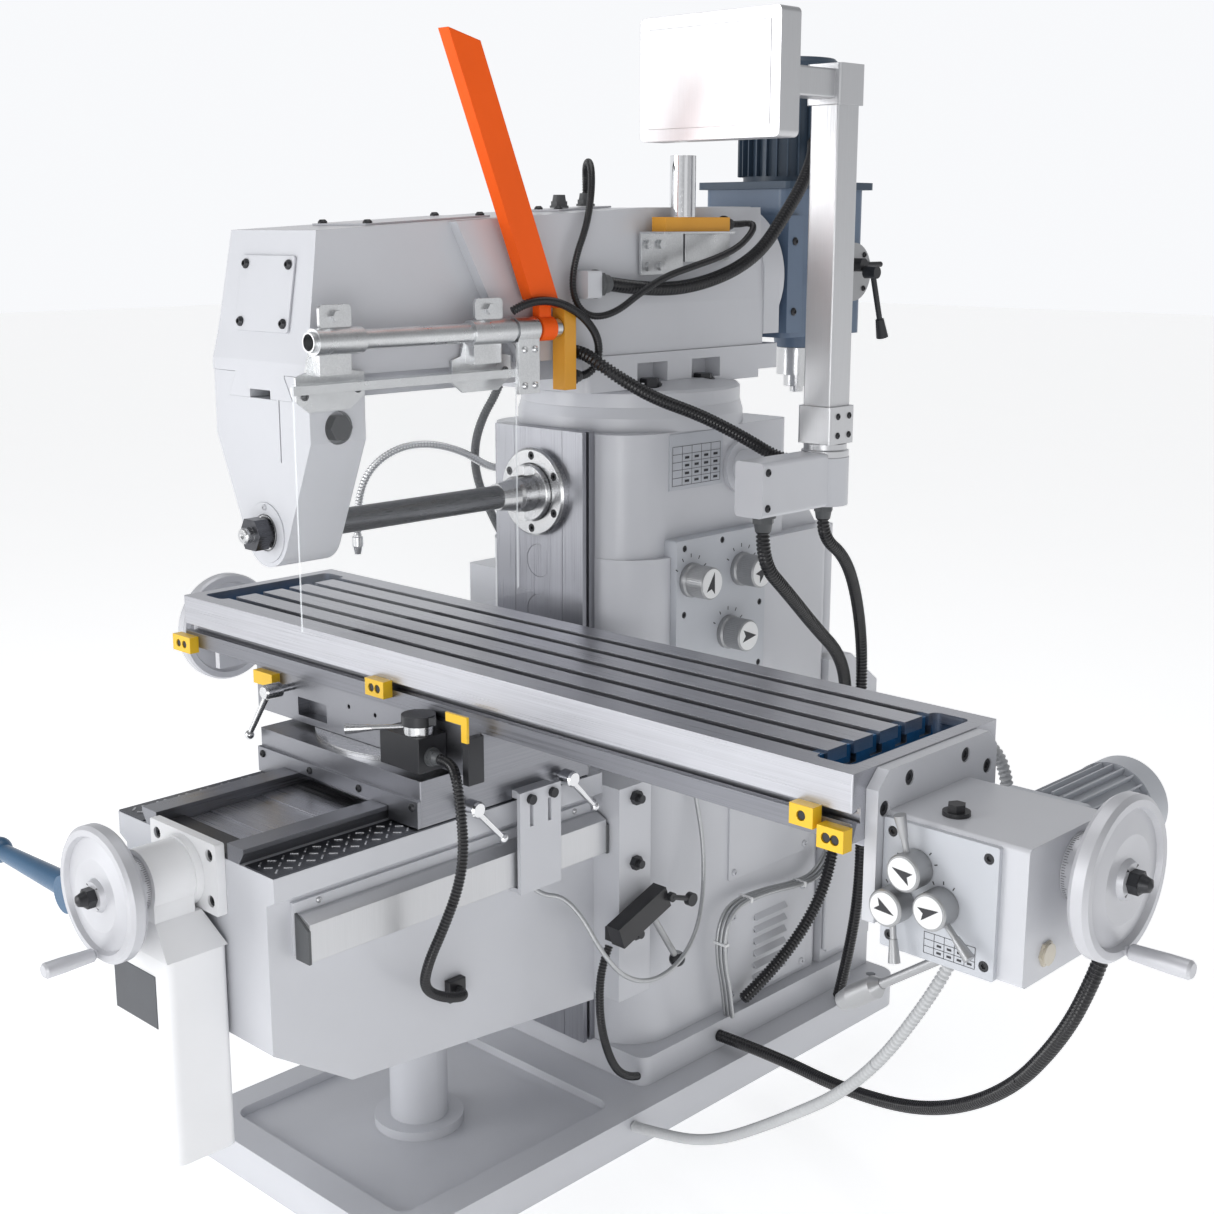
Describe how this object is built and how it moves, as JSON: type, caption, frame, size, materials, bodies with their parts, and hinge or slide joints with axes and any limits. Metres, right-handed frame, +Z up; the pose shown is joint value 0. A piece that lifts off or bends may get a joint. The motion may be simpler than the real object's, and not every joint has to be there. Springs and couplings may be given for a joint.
{
  "type": "milling machine",
  "caption": "Universal knee-type milling machine with a horizontal arbor, a ram and its arbor support, a tilting head at the rear, a swivelling power-fed table and an arm guard.",
  "frame": {"origin": "on the floor, on the machine's centreline, below the front face of the column ways", "axes": "+X to the operator's right along the table, +Y back towards the column, +Z up"},
  "size_m": [2.233, 1.952, 2.06],
  "materials": {
    "paint_white": "smooth off-white machine enamel",
    "ground_steel": "ground and scraped slideways",
    "steel_dark": "oiled dark tool steel",
    "galvanised": "galvanised sheet and tube",
    "paint_blue_grey": "blue-grey enamel",
    "paint_blue": "blue enamel",
    "paint_orange": "bright orange powder coat",
    "paint_yellow": "signal yellow",
    "aluminium": "matt anodised",
    "knob_grey": "fine cast grey",
    "black_plastic": "matt black",
    "black_metal": "blackened steel",
    "chrome": "polished",
    "clear_sheet": "clear polycarbonate"
  },
  "bodies": {
    "frame": {"base_plinth": "paint_white", "column": "paint_white", "column_ways": "ground_steel", "spindle_cap": "ground_steel", "column_plates": "paint_white", "main_motor": "paint_blue_grey", "electrical_boxes": "paint_white", "turret": "paint_white", "pendant_bracket": "paint_white", "column_conduits": "black_plastic"},
    "motor_pulley": {"motor_pulley": "steel_dark"},
    "spindle": {"spindle": "ground_steel", "milling_arbor": "steel_dark"},
    "cabinet_door": {"cabinet_door": "paint_white"},
    "pendant": {"pendant_post": "aluminium"},
    "speed_knob_1": {"speed_knob_1": "knob_grey"},
    "speed_knob_2": {"speed_knob_2": "knob_grey"},
    "speed_knob_3": {"speed_knob_3": "knob_grey"},
    "ram": {"ram": "paint_white", "ram_conduits": "black_plastic", "guard_rail": "galvanised", "guard_post": "paint_orange", "safety_switches": "paint_yellow", "head_conduit": "black_plastic", "ram_supply": "black_plastic"},
    "guard": {"guard_sleeve": "galvanised", "guard_shield": "clear_sheet"},
    "arbor_support": {"arbor_support": "paint_white"},
    "head": {"vertical_head": "paint_blue_grey"},
    "head_spindle": {"head_spindle": "ground_steel"},
    "head_lever": {"head_lever": "black_metal"},
    "knee": {"knee": "paint_white", "knee_covers": "ground_steel", "crossfeed_bracket": "paint_white", "knee_sensors": "aluminium", "elevating_screw": "ground_steel", "saddle_cables": "black_plastic"},
    "crossfeed_wheel": {"crossfeed_wheel": "knob_grey"},
    "knee_lever": {"knee_lever": "paint_blue"},
    "lock_lever": {"lock_lever": "knob_grey"},
    "lower_saddle": {"lower_saddle": "ground_steel"},
    "saddle_clamp_1": {"saddle_clamp_1": "chrome"},
    "saddle_clamp_2": {"saddle_clamp_2": "chrome"},
    "swivel_saddle": {"swivel_saddle": "ground_steel", "feed_trip_unit": "black_metal"},
    "feed_trip_lever": {"feed_trip_lever": "aluminium"},
    "swivel_clamp": {"swivel_clamp": "chrome"},
    "table": {"table": "ground_steel", "trip_dogs": "paint_yellow", "feed_gearbox": "paint_white", "feed_motor": "paint_white", "left_end_bracket": "paint_white", "lead_screw": "ground_steel", "table_hoses": "black_plastic"},
    "feed_knob_1": {"feed_knob_1": "knob_grey"},
    "feed_knob_2": {"feed_knob_2": "knob_grey"},
    "feed_knob_3": {"feed_knob_3": "knob_grey"},
    "feed_lever": {"feed_lever": "knob_grey"},
    "right_handwheel": {"right_handwheel": "knob_grey"},
    "left_handwheel": {"left_handwheel": "knob_grey"}
  },
  "joints": [
    {"name": "knee_lift", "type": "slide", "parent": "frame", "child": "knee", "axis": [0, 0, 1], "range_m": [-0.19, 0.08], "deforming": ["saddle_cables"]},
    {"name": "cross_feed", "type": "slide", "parent": "knee", "child": "lower_saddle", "axis": [0, 1, 0], "range_m": [-0.2, 0.015], "deforming": ["saddle_cables"]},
    {"name": "saddle_swivel", "type": "hinge", "parent": "lower_saddle", "child": "swivel_saddle", "pos_m": [0, -0.265, 0.826], "axis": [0, 0, 1], "range_deg": [-15, 15], "deforming": ["saddle_cables"]},
    {"name": "table_feed", "type": "slide", "parent": "swivel_saddle", "child": "table", "axis": [1, 0, 0], "range_m": [-0.62, 0.19], "deforming": ["table_hoses"]},
    {"name": "ram_travel", "type": "slide", "parent": "frame", "child": "ram", "axis": [0, 1, 0], "range_m": [-0.2, 0.08], "deforming": ["ram_supply"]},
    {"name": "support_travel", "type": "slide", "parent": "frame", "child": "arbor_support", "axis": [0, 1, 0], "range_m": [0, 0.3]},
    {"name": "head_tilt", "type": "hinge", "parent": "ram", "child": "head", "pos_m": [0, 0.55, 1.622], "axis": [0, 1, 0], "range_deg": [-90, 90], "deforming": ["head_conduit"]},
    {"name": "head_spindle_turn", "type": "hinge", "parent": "head", "child": "head_spindle", "pos_m": [0, 0.793, 1.4], "axis": [0, 0, 1], "continuous": true},
    {"name": "head_lever_turn", "type": "hinge", "parent": "head", "child": "head_lever", "pos_m": [0.18, 0.808, 1.625], "axis": [1, 0, 0], "range_deg": [-60, 60]},
    {"name": "guard_swing", "type": "hinge", "parent": "ram", "child": "guard", "pos_m": [0.168, -0.2, 1.548], "axis": [0, 1, 0], "range_deg": [-95, 0]},
    {"name": "spindle_turn", "type": "hinge", "parent": "frame", "child": "spindle", "pos_m": [0, 0, 1.23], "axis": [0, 1, 0], "continuous": true},
    {"name": "motor_turn", "type": "hinge", "parent": "frame", "child": "motor_pulley", "pos_m": [0, 0.44, 0.25], "axis": [0, 1, 0], "continuous": true},
    {"name": "door_hinge", "type": "hinge", "parent": "frame", "child": "cabinet_door", "pos_m": [0.2323, 0.64, 0.43], "axis": [0, 0, 1], "range_deg": [-88, 0]},
    {"name": "pendant_swing", "type": "hinge", "parent": "frame", "child": "pendant", "pos_m": [0.42, 0.335, 1.32], "axis": [0, 0, 1], "range_deg": [-90, 90]},
    {"name": "speed_select_1", "type": "hinge", "parent": "frame", "child": "speed_knob_1", "pos_m": [0.237, 0.17, 1.066], "axis": [1, 0, 0], "range_deg": [-60, 60]},
    {"name": "speed_select_2", "type": "hinge", "parent": "frame", "child": "speed_knob_2", "pos_m": [0.237, 0.32, 1.066], "axis": [1, 0, 0], "range_deg": [-60, 60]},
    {"name": "speed_select_3", "type": "hinge", "parent": "frame", "child": "speed_knob_3", "pos_m": [0.237, 0.282, 0.946], "axis": [1, 0, 0], "range_deg": [-60, 60]},
    {"name": "cross_wheel_turn", "type": "hinge", "parent": "knee", "child": "crossfeed_wheel", "pos_m": [0, -0.9, 0.697], "axis": [0, 1, 0], "continuous": true},
    {"name": "knee_lever_turn", "type": "hinge", "parent": "knee", "child": "knee_lever", "pos_m": [-0.215, -0.9, 0.62], "axis": [0, 1, 0], "range_deg": [-25, 25]},
    {"name": "lock_lever_turn", "type": "hinge", "parent": "knee", "child": "lock_lever", "pos_m": [0.271, 0.008, 0.462], "axis": [1, 0, 0], "range_deg": [-20, 15]},
    {"name": "saddle_clamp_turn_1", "type": "hinge", "parent": "lower_saddle", "child": "saddle_clamp_1", "pos_m": [0.24, -0.4, 0.757], "axis": [1, 0, 0], "range_deg": [-45, 0]},
    {"name": "saddle_clamp_turn_2", "type": "hinge", "parent": "lower_saddle", "child": "saddle_clamp_2", "pos_m": [0.24, -0.172, 0.757], "axis": [1, 0, 0], "range_deg": [-45, 0]},
    {"name": "feed_trip_turn", "type": "hinge", "parent": "swivel_saddle", "child": "feed_trip_lever", "pos_m": [0.2, -0.475, 0.905], "axis": [0, 0, 1], "range_deg": [-30, 30]},
    {"name": "swivel_clamp_turn", "type": "hinge", "parent": "swivel_saddle", "child": "swivel_clamp", "pos_m": [-0.2, -0.47, 0.894], "axis": [0, 1, 0], "range_deg": [0, 60]},
    {"name": "feed_select_1", "type": "hinge", "parent": "table", "child": "feed_knob_1", "pos_m": [1.13, -0.399, 0.892], "axis": [0, 1, 0], "range_deg": [-45, 45]},
    {"name": "feed_select_2", "type": "hinge", "parent": "table", "child": "feed_knob_2", "pos_m": [1.104, -0.399, 0.836], "axis": [0, 1, 0], "range_deg": [-45, 45]},
    {"name": "feed_select_3", "type": "hinge", "parent": "table", "child": "feed_knob_3", "pos_m": [1.172, -0.399, 0.85], "axis": [0, 1, 0], "range_deg": [-45, 45]},
    {"name": "feed_lever_turn", "type": "hinge", "parent": "table", "child": "feed_lever", "pos_m": [1.15, -0.33, 0.748], "axis": [0, 0, 1], "range_deg": [-25, 25]},
    {"name": "right_wheel_turn", "type": "hinge", "parent": "table", "child": "right_handwheel", "pos_m": [1.29, -0.265, 0.9], "axis": [1, 0, 0], "continuous": true},
    {"name": "left_wheel_turn", "type": "hinge", "parent": "table", "child": "left_handwheel", "pos_m": [-0.615, -0.265, 0.9], "axis": [1, 0, 0], "continuous": true}
  ],
  "couplings": [
    {"joint": "motor_turn", "follows": "spindle_turn", "ratio": 1.5}
  ]
}
